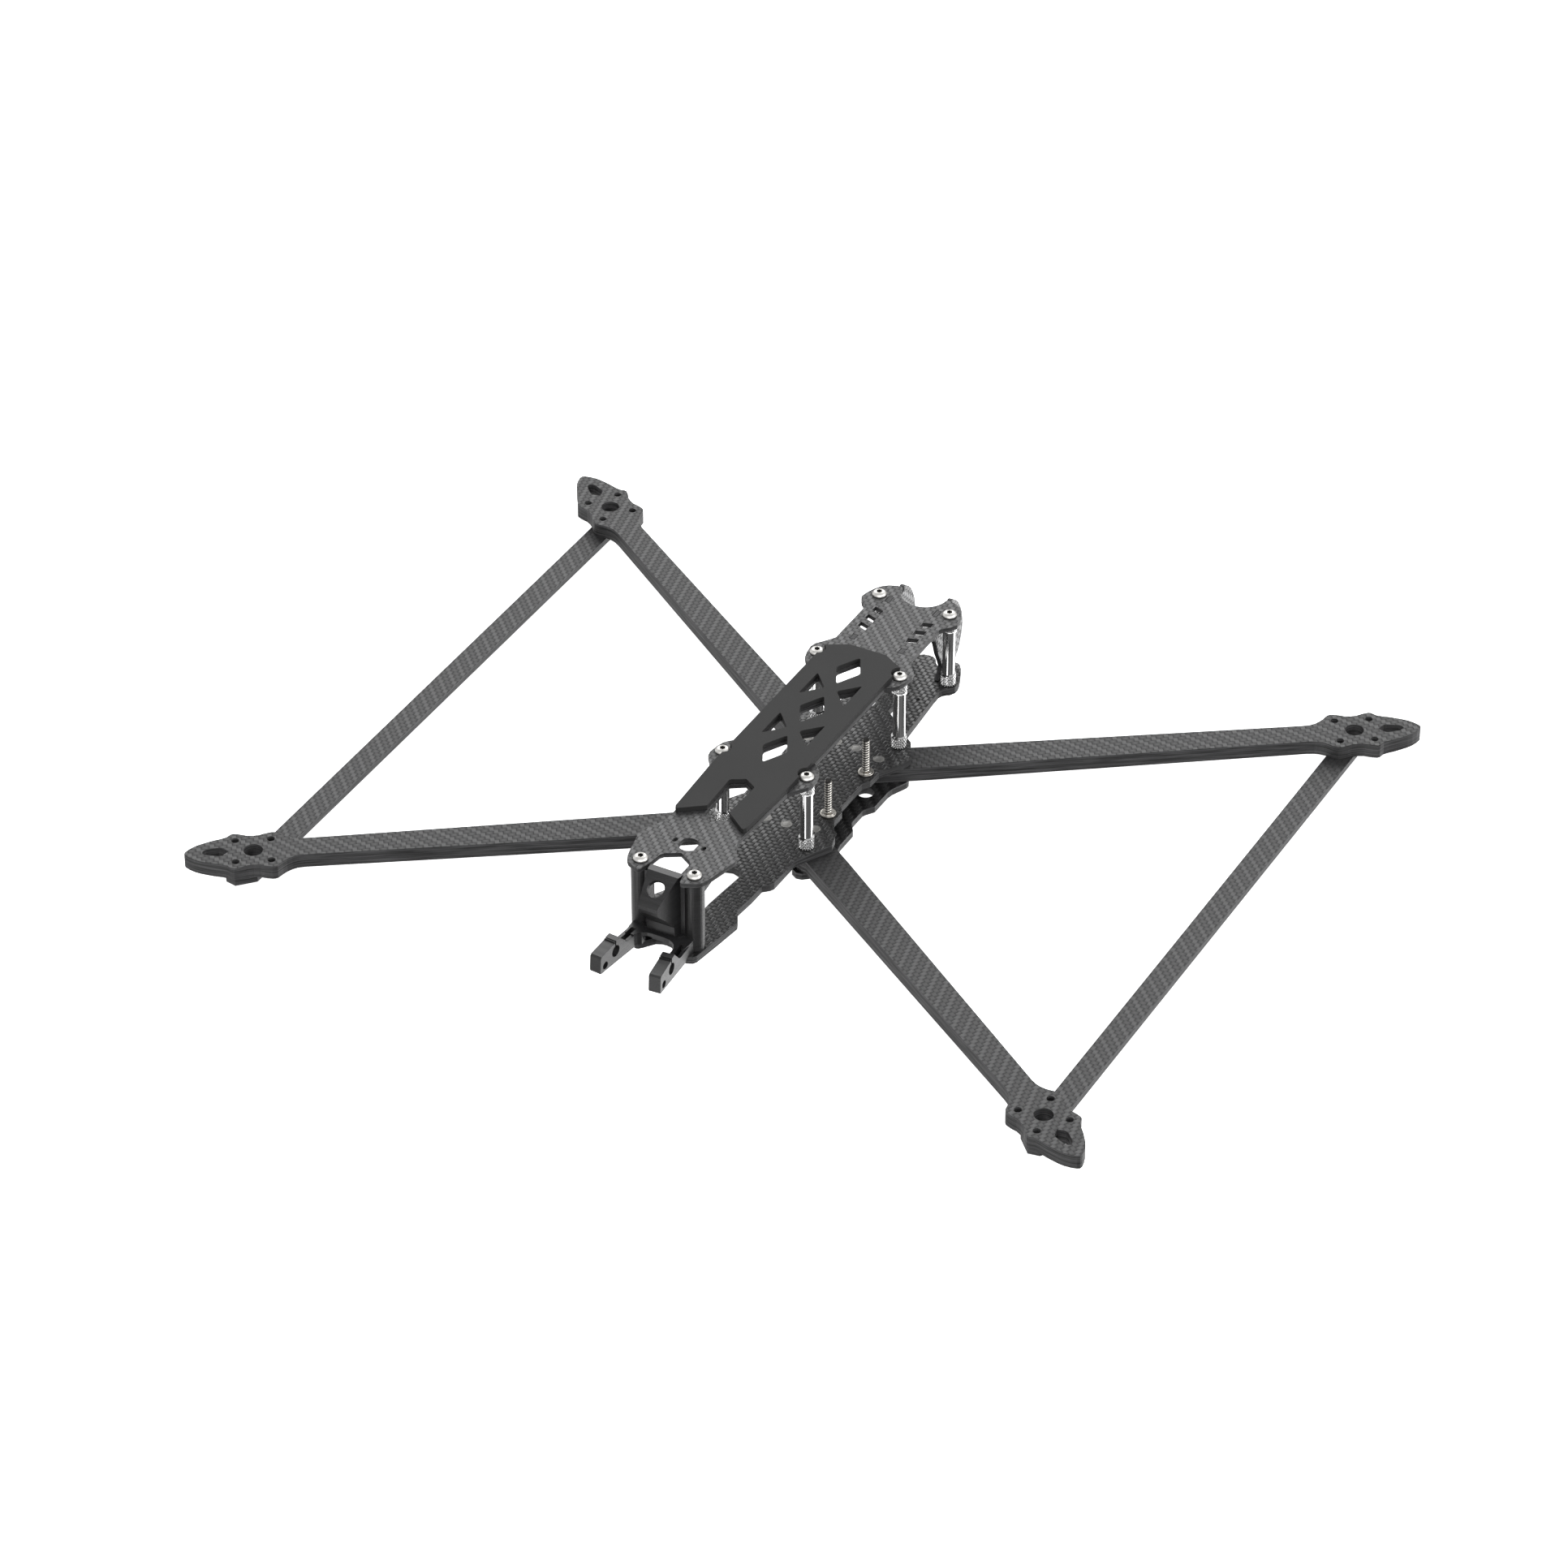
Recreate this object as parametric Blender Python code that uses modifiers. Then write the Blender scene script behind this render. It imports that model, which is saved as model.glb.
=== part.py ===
"""Bare airframe of a ten-inch-class quadcopter, in metres, +Z up, nose towards -Y.

Four tapered arms are clamped between a bottom plate and a middle plate, and each
pair is tied by a side brace.  Standoffs carry a top plate with a battery pad, two
guard plates close the tail, and a moulded mount at the nose holds a camera.
Outlines are in millimetres.  Heights called "above deck" start at the top face of
the middle plate.
"""
import math

import bmesh
import bpy
from mathutils import Vector

MM = 0.001
NAME = "quadcopter_frame"

# Stack of plates, from the screw heads upwards
GAP = 0.15                      # set-back on every face that meets another piece
SEAT = 0.05                     # the same under the screw heads
HEAD_H = 1.65
BOTTOM_T, ARM_T, MID_T = 3.0, 6.0, 3.0
STANDOFF_H, TOP_T, PAD_T, BRACE_T = 30.0, 2.0, 2.0, 2.5
Z_BOTTOM = HEAD_H + SEAT
Z_ARM = Z_BOTTOM + BOTTOM_T
Z_MID = Z_ARM + ARM_T
Z_DECK = Z_MID + MID_T
Z_TOP = Z_DECK + STANDOFF_H
Z_PAD = Z_TOP + TOP_T
Z_CROWN = Z_PAD + PAD_T

# Motor heads
MOTOR_X, MOTOR_Y = 165.7, 134.65
ARM_ANGLE = math.radians(33.6)
MOTOR_BOLT = 19.0 / 2 / math.sqrt(2)
SHAFT_R, MOTOR_HOLE_R = 3.65, 1.5

# M3 hardware
BORE_R, SHANK_R, HEAD_R = 1.65, 1.35, 2.85
HEX_R, HEX_DEPTH = 1.15, 1.05
MAIN_X, MAIN_Y = 17.85, 37.35
TAIL_X, TAIL_Y = 15.3, 83.8
NOSE_X, NOSE_Y = 11.25, -111.0
STACK, STUD_H, ACCESS_R = 15.25, 16.0, 3.3
CLAMPS = ((4.4, 28.2), (15.3, 25.8))
INSERT_R, INSERT_HOLE_R = 2.0, 2.2
STANDOFF_R, KNURL_R, KNURL_H = 2.5, 3.0, 4.8
POST_GRIP = 8.0                 # how far a screw reaches into a standoff or post

# Arm, along its axis from the motor and sideways (+ towards the nose or tail end)
HEAD_SIDE = [
    (-9.0, 10.5), (-8.0, 10.95), (-7.0, 11.0), (-5.5, 10.65), (-4.0, 10.2), (-2.5, 9.55), (0.0, 9.3),
    (2.3, 9.5), (3.6, 10.05), (5.4, 10.7), (7.3, 11.1), (8.3, 10.8), (10.0, 9.1), (12.0, 8.3),
    (15.0, 7.4), (17.5, 6.45), (20.0, 5.4), (22.0, 4.3), (24.0, 2.7), (25.5, 1.05)]
ARM_TIP = (25.9, 0.0)
ARM_OUTER = [
    (-10.0, 9.4), (-11.0, 8.3), (-12.5, 6.9), (-14.5, 5.6), (-16.5, 4.8), (-19.5, 4.5), (-160.0, 3.5),
    (-172.6, 3.4), (-174.4, 4.3), (-177.0, 4.9), (-179.6, 4.3), (-181.4, 3.35), (-196.2, 3.3)]
ARM_INNER = [
    (-203.0, -6.9), (-200.6, -10.7), (-165.0, -10.4), (-19.5, -6.15), (-16.5, -6.35), (-14.5, -6.9),
    (-12.5, -7.9), (-11.0, -9.0), (-10.0, -9.9)]
ARM_WINDOW = [(9.3, 0.0), (10.6, 1.35), (11.8, 2.4), (13.0, 2.6), (17.6, 1.7), (18.9, 0.7)]

# Half outlines, right side, listed from the tail round to the nose
BOTTOM_CORNER = [
    (8.0, 33.0), (12.2, 38.2), (13.8, 41.2), (16.3, 42.7), (18.6, 42.3), (20.7, 40.6), (22.4, 38.0),
    (24.2, 34.0), (26.05, 30.2), (26.0, 28.7), (23.2, 22.2), (22.65, 19.3), (22.6, 8.9), (20.4, 5.7),
    (19.75, 4.2)]
MID_HALF = [
    (0.0, 97.5), (2.0, 97.2), (3.5, 96.2), (5.0, 93.6), (6.6, 92.4), (8.2, 93.4), (9.6, 96.2),
    (10.8, 97.9), (12.2, 98.1), (13.6, 97.2), (15.2, 95.0), (17.0, 91.0), (18.3, 87.5), (19.0, 84.9),
    (18.9, 82.6), (17.2, 80.5), (15.4, 78.4), (14.8, 76.8), (14.9, 72.0), (15.6, 62.5), (16.6, 48.0),
    (16.9, 45.0), (17.7, 43.5), (19.2, 42.8), (20.9, 41.5), (22.4, 38.7), (25.9, 32.0), (24.5, 27.0),
    (19.3, 18.2), (19.2, 11.5), (17.25, 8.2), (17.25, -8.2), (19.2, -11.5), (19.3, -18.2),
    (24.5, -27.0), (25.9, -32.0), (19.9, -43.8), (18.8, -45.8), (18.2, -48.0), (18.15, -63.2),
    (17.3, -64.9), (15.1, -67.0), (15.0, -75.0), (14.3, -84.3), (15.6, -86.6), (16.9, -88.9),
    (18.0, -91.3), (16.4, -104.0), (14.7, -115.9), (13.9, -117.4), (12.0, -118.3), (9.2, -119.4),
    (8.1, -119.0), (6.7, -117.4), (3.9, -113.6), (1.8, -112.6), (0.0, -112.4)]
MID_WINDOW = [
    (0.0, -61.9), (3.0, -62.8), (4.7, -64.2), (4.9, -67.0), (3.9, -77.0), (3.1, -86.0), (3.0, -96.5),
    (1.8, -98.0), (0.0, -98.3)]
MID_VENT = [(3.4, 56.2), (7.9, 52.4), (9.6, 53.5), (10.2, 59.8), (7.0, 63.5), (3.4, 61.0)]
TOP_HALF = [
    (10.4, 92.9), (12.0, 92.5), (13.6, 91.9), (15.2, 91.2), (17.0, 89.7), (18.2, 88.0), (19.2, 86.0),
    (20.0, 83.8), (20.5, 81.8), (20.9, 79.4), (20.2, 78.0), (19.2, 76.3), (17.4, 74.5), (16.4, 72.8),
    (16.3, 71.0), (16.3, 49.7), (18.0, 47.0), (19.5, 44.8), (21.3, 42.4), (21.9, 39.8), (21.4, 35.6),
    (20.4, 32.2), (19.2, 30.5), (17.9, 29.2), (16.3, 28.0), (16.3, -28.0), (17.9, -29.2), (19.2, -30.5),
    (20.4, -32.2), (21.4, -35.6), (21.9, -39.8), (21.3, -42.4), (19.5, -44.8), (18.0, -47.0),
    (16.3, -49.7), (15.0, -80.0), (15.1, -85.0), (15.7, -87.2), (17.0, -89.8), (18.7, -92.2),
    (19.9, -94.6), (20.1, -96.5), (19.3, -99.5), (18.3, -104.0), (17.4, -108.0), (16.6, -111.0),
    (15.7, -113.2), (14.3, -114.8), (12.0, -115.9), (10.0, -116.9), (8.9, -117.2), (8.3, -116.5),
    (7.5, -113.0), (7.0, -110.8), (6.3, -105.6), (5.4, -104.1), (0.0, -100.8)]
TAIL_NOTCH_R, TAIL_NOTCH_Y = 9.5, 92.9
TOP_NOSE_WINDOW = [(0.0, -51.6), (5.1, -55.0), (4.7, -74.5), (0.0, -79.0)]
PAD_NOTCH_R = 3.4
PAD_TAIL = [(0.0, 45.3), (7.6, 45.3), (8.5, 44.9)]
PAD_NOSE = [
    (16.35, -48.8), (14.95, -78.4), (14.3, -79.7), (13.4, -79.6), (4.6, -72.9), (5.3, -55.0),
    (4.9, -54.4), (0.0, -51.4)]
STRAP_SLOT = [(8.6, 71.4), (12.7, 72.9), (12.7, 75.8), (8.6, 74.4)]
STRAP_STEP, STRAP_SLOTS = -6.0, 3
TRUSS_ROWS = (29.2, 0.0, -29.2)
DIAMOND_X, DIAMOND_Y = 5.2, 9.8
TRUSS_TRIANGLES = (14.9, -14.9)
BRACE_END = [
    (169.45, 137.9), (171.2, 140.3), (172.3, 144.2), (170.4, 146.7), (165.9, 147.5), (160.0, 141.2)]

# Tail guard plate, along Y and above deck
GUARD_X, GUARD_T = 10.4, 2.0
GUARD_FOOT = (86.7, 90.3)
GUARD_TABS = ((80.6, 84.6), (51.7, 55.0))
GUARD_OUTLINE = [
    (82.6, 0.4), (83.4, GAP), (86.7, GAP), (86.7, -2.85), (90.3, -2.85), (90.3, GAP), (94.0, 0.2),
    (96.0, 1.2), (98.0, 2.8), (99.5, 4.5), (100.7, 6.5), (101.7, 8.5), (102.6, 11.0), (103.1, 13.2),
    (103.35, 16.0), (103.1, 18.8), (102.6, 21.0), (101.7, 23.5), (100.7, 25.5), (99.5, 27.5), (98.0, 29.2),
    (96.0, 30.8), (94.4, 31.9), (93.1, 31.9), (93.1, 29.8), (84.6, 29.8), (84.6, 31.9), (80.6, 31.9),
    (80.6, 29.8), (77.0, 29.8), (76.4, 27.0), (57.2, 27.0), (56.2, 29.8), (55.0, 29.8), (55.0, 31.9),
    (51.7, 31.9), (51.7, 29.8), (50.4, 29.8), (50.4, 27.8), (54.0, 23.6), (70.0, 23.4), (76.5, 22.6),
    (79.4, 21.0), (80.9, 18.0), (82.5, 13.0), (85.0, 8.0), (86.2, 5.0), (85.0, 2.4)]

# Camera mount: side profiles along Y and above deck
POST_R = 3.7
BASE_FRONT, BASE_TOP, SHELF_T, STEP_H = -118.3, 5.5, 1.5, 0.45
RECESS_X, RECESS_DEPTH = 6.4, 3.6
BASE_PLAN = [
    (12.6, -106.6), (12.6, -117.7), (12.0, -122.0), (8.3, -122.1), (7.6, -120.6), (6.6, -119.5),
    (4.6, -118.6), (2.4, -118.3)]
STEP_PLAN = [(12.5, -106.7), (12.5, -114.2), (8.4, -114.5), (7.2, -116.0)]
HOOD = [
    (-111.3, 32.0), (-113.4, 32.0), (-124.9, 24.4), (-125.8, 23.2), (-125.9, 21.6), (-125.3, 19.9),
    (-124.3, 18.8), (-118.8, 13.2), (-117.0, 10.4), (-116.4, 5.0), (-111.3, 5.0)]
HOOD_CAVITY = [
    (-108.0, 29.8), (-113.7, 29.8), (-123.6, 23.2), (-123.9, 21.9), (-123.4, 20.6), (-117.4, 14.2),
    (-115.4, 11.0), (-115.0, 6.6), (-108.0, 6.6)]
HOOD_PLAN = [(6.9, -111.2), (6.6, -113.4), (3.9, -126.0)]
CAVITY_PLAN = [(5.4, -107.0), (5.4, -112.0), (2.5, -125.0)]
HOOD_HOLE_R, HOOD_HOLE_Y, HOOD_HOLE_Z, HOOD_TILT = 3.4, -119.9, 27.8, math.radians(33.5)
WEB_Y, WEB_T = -113.3, 1.6
PRONG_T, PRONG_ROOT_X, PRONG_ROOT_Y, PRONG_SPLAY = 4.75, 10.1, -116.0, math.radians(4.8)
PRONG = [
    (4.0, 1.0), (-4.5, 1.0), (-5.5, -0.35), (-20.0, 0.5), (-27.2, 0.8), (-27.4, 1.6), (-27.0, 7.4),
    (-26.4, 8.1), (-18.9, 9.0), (-18.0, 9.1), (-18.0, 9.7), (-14.7, 9.9), (-13.9, 8.9), (-10.8, 5.5),
    (-9.4, 5.0), (2.0, 4.7), (4.0, 4.7)]
CLAMP_HOLE = (-17.5, 5.4, 2.35)
PIVOT_HOLE = (-24.2, 3.1, 1.55)
SLIT_W, TIE_SLOT_W, TIE_SLOT = 0.7, 2.0, (-10.2, -2.4)


# Scene helpers

def clear_scene():
    for obj in list(bpy.data.objects):
        bpy.data.objects.remove(obj, do_unlink=True)


def collection(name):
    group = bpy.data.collections.new(name)
    bpy.context.scene.collection.children.link(group)
    return group


def material(name, rgb, roughness, metallic=0.0):
    mat = bpy.data.materials.new(name)
    mat.use_nodes = True
    shader = mat.node_tree.nodes["Principled BSDF"]
    shader.inputs["Base Color"].default_value = (*rgb, 1.0)
    shader.inputs["Roughness"].default_value = roughness
    shader.inputs["Metallic"].default_value = metallic
    return mat


def mirror_x(half):
    """Closes an outline listed down its +X side with the same points on the -X side."""
    return half + [(-x, y) for x, y in reversed(half) if x > 0]


def mirror_y(half):
    """Closes an outline listed along its +Y side with the same points on the -Y side."""
    return half + [(x, -y) for x, y in reversed(half) if y > 0]


def arc(centre, radius, start, end, count):
    """Points on an arc; angles in degrees, both ends included."""
    angles = [math.radians(start + (end - start) * i / (count - 1)) for i in range(count)]
    return [(centre[0] + radius * math.cos(a), centre[1] + radius * math.sin(a)) for a in angles]


def circle(x, y, radius, count=12):
    return arc((x, y), radius, 0.0, 360.0 * (count - 1) / count, count)


def quads(x, y):
    """The four places that mirror one point in X and Y."""
    return [(sx * x, sy * y) for sx in (1, -1) for sy in (1, -1)]


def pair(x, y):
    return [(x, y), (-x, y)]


def rounded(corners, radius, steps=3):
    """Replaces each corner of a convex outline with an arc-like curve that starts radius before it."""
    points = []
    count = len(corners)
    for i, corner in enumerate(corners):
        here = Vector(corner)
        before = here + (Vector(corners[i - 1]) - here).normalized() * radius
        after = here + (Vector(corners[(i + 1) % count]) - here).normalized() * radius
        for k in range(steps + 1):
            t = k / steps
            spot = before * (1 - t) ** 2 + here * (2 * t * (1 - t)) + after * t ** 2
            points.append((spot.x, spot.y))
    return points


def outline_object(name, outline, holes, thickness, group):
    """A flat sheet centred on its own XY plane: a filled 2D curve with an extrude."""
    curve = bpy.data.curves.new(name, "CURVE")
    curve.dimensions = "2D"
    curve.fill_mode = "BOTH"
    curve.extrude = thickness * MM / 2
    for loop in [outline, *holes]:
        spline = curve.splines.new("POLY")
        spline.points.add(len(loop) - 1)
        for point, (x, y) in zip(spline.points, loop):
            point.co = (x * MM, y * MM, 0.0, 1.0)
        spline.use_cyclic_u = True
    obj = bpy.data.objects.new(name, curve)
    group.objects.link(obj)
    return obj


def plate(name, outline, holes, z_low, z_high, mat):
    obj = outline_object(name, outline, holes, z_high - z_low, PARTS)
    obj.location = (0.0, 0.0, (z_low + z_high) * MM / 2)
    obj.data.materials.append(mat)
    return obj


def to_mesh(obj, group):
    """Swaps an object for the mesh that it evaluates to, with its loose caps welded."""
    bpy.context.view_layer.update()
    depsgraph = bpy.context.evaluated_depsgraph_get()
    mesh = bpy.data.meshes.new_from_object(obj.evaluated_get(depsgraph))
    work = bmesh.new()
    work.from_mesh(mesh)
    bmesh.ops.remove_doubles(work, verts=work.verts, dist=0.002 * MM)
    bmesh.ops.recalc_face_normals(work, faces=work.faces)
    work.to_mesh(mesh)
    work.free()
    name, matrix = obj.name, obj.matrix_world.copy()
    bpy.data.objects.remove(obj, do_unlink=True)
    solid = bpy.data.objects.new(name, mesh)
    solid.matrix_world = matrix
    group.objects.link(solid)
    return solid


def cutter(obj):
    obj.hide_render = True
    obj.display_type = "WIRE"
    return obj


def combine(target, tool, operation):
    """Adds an exact Boolean with a cutter object."""
    change = target.modifiers.new(tool.name, "BOOLEAN")
    change.operation = operation
    change.solver = "EXACT"
    change.object = tool
    return target


def sheet_tool(name, outline, thickness, rotation=(0.0, 0.0, 0.0), location=(0.0, 0.0, 0.0)):
    """An extruded outline used as a Boolean tool."""
    obj = outline_object(name, outline, [], thickness, CUTTERS)
    obj.rotation_euler = rotation
    obj.location = [c * MM for c in location]
    return cutter(to_mesh(obj, CUTTERS))


def rod_tool(name, radius, length, location, rotation=(0.0, 0.0, 0.0), sides=24):
    bpy.ops.mesh.primitive_cylinder_add(
        vertices=sides, radius=radius * MM, depth=length * MM,
        location=[c * MM for c in location], rotation=rotation)
    return stow_tool(name)


def box_tool(name, low, high):
    size = [b - a for a, b in zip(low, high)]
    centre = [(a + b) / 2 * MM for a, b in zip(low, high)]
    bpy.ops.mesh.primitive_cube_add(size=1.0, location=centre)
    bpy.context.object.scale = [s * MM for s in size]
    bpy.ops.object.transform_apply(location=False, rotation=False, scale=True)
    return stow_tool(name)


def stow_tool(name):
    obj = bpy.context.object
    obj.name = name
    for group in list(obj.users_collection):
        group.objects.unlink(obj)
    CUTTERS.objects.link(obj)
    return cutter(obj)


def turned(name, profile, steps, mat):
    """Turns a profile of (radius, height) points about Z; a closed profile leaves a bore."""
    work = bmesh.new()
    verts = [work.verts.new((r * MM, 0.0, h * MM)) for r, h in profile]
    for first, second in zip(verts, verts[1:]):
        work.edges.new((first, second))
    if profile[0][0] > 0:
        work.edges.new((verts[-1], verts[0]))
    mesh = bpy.data.meshes.new(name)
    work.to_mesh(mesh)
    work.free()
    obj = bpy.data.objects.new(name, mesh)
    CUTTERS.objects.link(obj)
    screw = obj.modifiers.new("turn", "SCREW")
    screw.steps = steps
    screw.render_steps = steps
    screw.use_merge_vertices = True
    screw.merge_threshold = 0.00001
    solid = to_mesh(obj, CUTTERS)
    mesh = solid.data
    mesh.materials.append(mat)
    mesh.shade_smooth()
    mesh.set_sharp_from_angle(angle=math.radians(35.0))
    bpy.data.objects.remove(solid, do_unlink=True)
    return mesh


def place(name, mesh, x, y, z, flip=False):
    obj = bpy.data.objects.new(name, mesh)
    obj.location = (x * MM, y * MM, z * MM)
    if flip:
        obj.rotation_euler = (math.pi, 0.0, 0.0)
    PARTS.objects.link(obj)
    return obj


def side_name(x, y=None):
    """left is +X and right is -X; front is -Y and rear is +Y."""
    side = "left" if x > 0 else "right"
    if y is None:
        return side
    return ("rear_" if y > 0 else "front_") + side


# Plates and arms

def bottom_plate():
    corner = BOTTOM_CORNER
    half = [(0.0, 33.0), *corner, *[(x, -y) for x, y in reversed(corner)], (0.0, -33.0)]
    holes = [circle(x, y, ACCESS_R, 20) for x, y in quads(STACK, STACK)]
    holes += [circle(x, y, BORE_R) for x, y in quads(MAIN_X, MAIN_Y)]
    for clamp in CLAMPS:
        holes += [circle(x, y, BORE_R) for x, y in quads(*clamp)]
    plate("bottom_plate", mirror_x(half), holes, Z_BOTTOM, Z_ARM - GAP, CARBON)


def mid_plate():
    holes = [mirror_x(MID_WINDOW), MID_VENT, [(-x, y) for x, y in MID_VENT]]
    holes += [circle(x, y, BORE_R) for x, y in quads(MAIN_X, MAIN_Y)]
    holes += [circle(x, y, BORE_R) for x, y in quads(STACK, STACK)]
    for clamp in CLAMPS:
        holes += [circle(x, y, INSERT_HOLE_R, 14) for x, y in quads(*clamp)]
    holes += [circle(x, y, BORE_R) for x, y in pair(TAIL_X, TAIL_Y) + pair(NOSE_X, NOSE_Y)]
    holes += [circle(x, y, 0.9, 10) for x, y in pair(10.0, 68.4)]
    holes += tab_slots(GUARD_FOOT)
    plate("mid_plate", mirror_x(MID_HALF), holes, Z_MID, Z_DECK, CARBON)


def tab_slots(span):
    """The pair of rectangular holes that the tail guards' tabs stand in."""
    reach = GUARD_T / 2 + GAP
    low, high = span[0] - GAP, span[1] + GAP
    slots = []
    for x in (GUARD_X, -GUARD_X):
        slots.append([(x - reach, low), (x + reach, low), (x + reach, high), (x - reach, high)])
    return slots


def truss_holes():
    """Diamonds and triangles cut through both the top plate and the pad."""
    holes = []
    for y in TRUSS_ROWS:
        corners = [(0.0, y + DIAMOND_Y), (DIAMOND_X, y), (0.0, y - DIAMOND_Y), (-DIAMOND_X, y)]
        holes.append(rounded(corners, 1.3))
    for y in TRUSS_TRIANGLES:
        corners = [(2.6, y), (9.6, y + 7.6), (9.6, y - 7.6)]
        holes.append(rounded(corners, 1.1))
        holes.append(rounded([(-x, v) for x, v in corners], 1.1))
    return holes


def top_plate():
    notch = arc((0.0, TAIL_NOTCH_Y), TAIL_NOTCH_R, -90.0, -4.0, 12)
    holes = truss_holes()
    holes.append(mirror_x(TOP_NOSE_WINDOW))
    oval = [(max(-3.6, min(3.6, x)), y) for x, y in circle(0.0, -95.0, 4.0, 24)]
    holes.append(oval)
    holes += [[(x + 0.85 * math.cos(a), y + 1.4 * math.sin(a)) for a in
               [math.tau * i / 12 for i in range(12)]] for x, y in pair(6.0, -94.7)]
    for i in range(STRAP_SLOTS):
        slot = [(x, y + i * STRAP_STEP) for x, y in STRAP_SLOT]
        holes += [slot, [(-x, y) for x, y in slot]]
    for span in GUARD_TABS:
        holes += tab_slots(span)
    bores = quads(MAIN_X, MAIN_Y) + pair(TAIL_X, TAIL_Y) + pair(NOSE_X, NOSE_Y)
    holes += [circle(x, y, BORE_R) for x, y in bores]
    plate("top_plate", mirror_x(notch + TOP_HALF), holes, Z_TOP, Z_PAD - GAP, CARBON)


def battery_pad():
    half = PAD_TAIL + arc((MAIN_X, MAIN_Y), PAD_NOTCH_R, 116.2, 243.8, 9)
    half += arc((MAIN_X, -MAIN_Y), PAD_NOTCH_R, 116.2, 243.8, 9) + PAD_NOSE
    plate("battery_pad", mirror_x(half), truss_holes(), Z_PAD, Z_CROWN, PAD)


def along_arm(x, y):
    """A place in the plan, as distances along and across the arm from its motor."""
    dx, dy = x - MOTOR_X, y - MOTOR_Y
    cos, sin = math.cos(ARM_ANGLE), math.sin(ARM_ANGLE)
    return dx * cos + dy * sin, dy * cos - dx * sin


def arm(sx, sy):
    head_out = [(u, v) for u, v in reversed(HEAD_SIDE)]
    head_in = [(u, -v) for u, v in HEAD_SIDE]
    outline = [ARM_TIP, *head_out, *ARM_OUTER, *ARM_INNER, *head_in]
    window = mirror_y(ARM_WINDOW + [(19.15, 0.0)])
    holes = [circle(0.0, 0.0, SHAFT_R, 28), window]
    holes += [circle(u, v, MOTOR_HOLE_R, 14) for u, v in quads(MOTOR_BOLT, MOTOR_BOLT)]
    for place_xy in [(MAIN_X, MAIN_Y), *CLAMPS]:
        holes.append(circle(*along_arm(*place_xy), BORE_R, 14))
    side = sx * sy
    outline = [(u, side * v) for u, v in outline]
    holes = [[(u, side * v) for u, v in hole] for hole in holes]
    obj = plate(f"arm_{side_name(sx, sy)}", outline, holes, Z_ARM, Z_MID - GAP, CARBON)
    obj.location.x = sx * MOTOR_X * MM
    obj.location.y = sy * MOTOR_Y * MM
    obj.rotation_euler.z = math.atan2(sy * math.sin(ARM_ANGLE), sx * math.cos(ARM_ANGLE))


def side_brace(side):
    outline = mirror_y(BRACE_END)
    holes = []
    cos, sin = math.cos(ARM_ANGLE), math.sin(ARM_ANGLE)
    for sy in (1, -1):
        holes.append(circle(MOTOR_X, sy * MOTOR_Y, SHAFT_R, 28))
        for along in (1, -1):
            x = MOTOR_X + along * MOTOR_BOLT * (cos - sin)
            y = MOTOR_Y + along * MOTOR_BOLT * (sin + cos)
            holes.append(circle(x, sy * y, MOTOR_HOLE_R, 14))
    outline = [(side * x, y) for x, y in outline]
    holes = [[(side * x, y) for x, y in hole] for hole in holes]
    high = Z_ARM - GAP
    plate(f"side_brace_{side_name(side)}", outline, holes, high - BRACE_T, high, CARBON)


def tail_guard(side):
    """A sheet standing in the YZ plane between the middle plate and the top plate."""
    obj = outline_object(f"tail_guard_{side_name(side)}", GUARD_OUTLINE, [], GUARD_T, PARTS)
    obj.rotation_euler = (math.radians(90.0), 0.0, math.radians(90.0))
    obj.location = (side * GUARD_X * MM, 0.0, Z_DECK * MM)
    obj.data.materials.append(CARBON)


# Hardware

def button_screw_mesh(name, length, sides=12):
    """A button-head screw hanging below its seat: head above z = 0, shank below."""
    dome = [(0.0, HEAD_H), (1.6, HEAD_H), (2.4, 1.1), (HEAD_R, 0.4), (HEAD_R, 0.0)]
    shank = [(SHANK_R, 0.0), (SHANK_R, -length), (0.0, -length)]
    blank = turned(name, dome + shank, sides, STEEL)
    body = bpy.data.objects.new(name, blank)
    CUTTERS.objects.link(body)
    socket = rod_tool(f"{name}_socket", HEX_R, 2 * HEX_DEPTH, (0.0, 0.0, HEAD_H), sides=6)
    combine(body, socket, "DIFFERENCE")
    solid = to_mesh(body, CUTTERS)
    mesh = solid.data
    bpy.data.objects.remove(solid, do_unlink=True)
    return mesh


def screws():
    short = button_screw_mesh("screw_m3_short", TOP_T + POST_GRIP, 16)
    medium = button_screw_mesh("screw_m3_medium", MID_T + POST_GRIP)
    long = button_screw_mesh("screw_m3_long", BOTTOM_T + ARM_T + MID_T + POST_GRIP)
    clamp = button_screw_mesh("screw_m3_clamp", BOTTOM_T + ARM_T + 2.2)
    stud = button_screw_mesh("screw_m3_stack", MID_T + STUD_H)
    for x, y in quads(MAIN_X, MAIN_Y):
        place(f"screw_top_{side_name(x, y)}", short, x, y, Z_PAD)
        place(f"screw_base_{side_name(x, y)}", long, x, y, Z_BOTTOM - SEAT, flip=True)
    for label, spots in (("tail", pair(TAIL_X, TAIL_Y)), ("nose", pair(NOSE_X, NOSE_Y))):
        for x, y in spots:
            place(f"screw_top_{label}_{side_name(x)}", short, x, y, Z_PAD)
            place(f"screw_base_{label}_{side_name(x)}", medium, x, y, Z_MID - GAP, flip=True)
    for label, spot in zip(("inner", "outer"), CLAMPS):
        for x, y in quads(*spot):
            place(f"screw_clamp_{label}_{side_name(x, y)}", clamp, x, y, Z_BOTTOM - SEAT, flip=True)
    for x, y in quads(STACK, STACK):
        place(f"stack_screw_{side_name(x, y)}", stud, x, y, Z_MID - GAP, flip=True)


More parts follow.
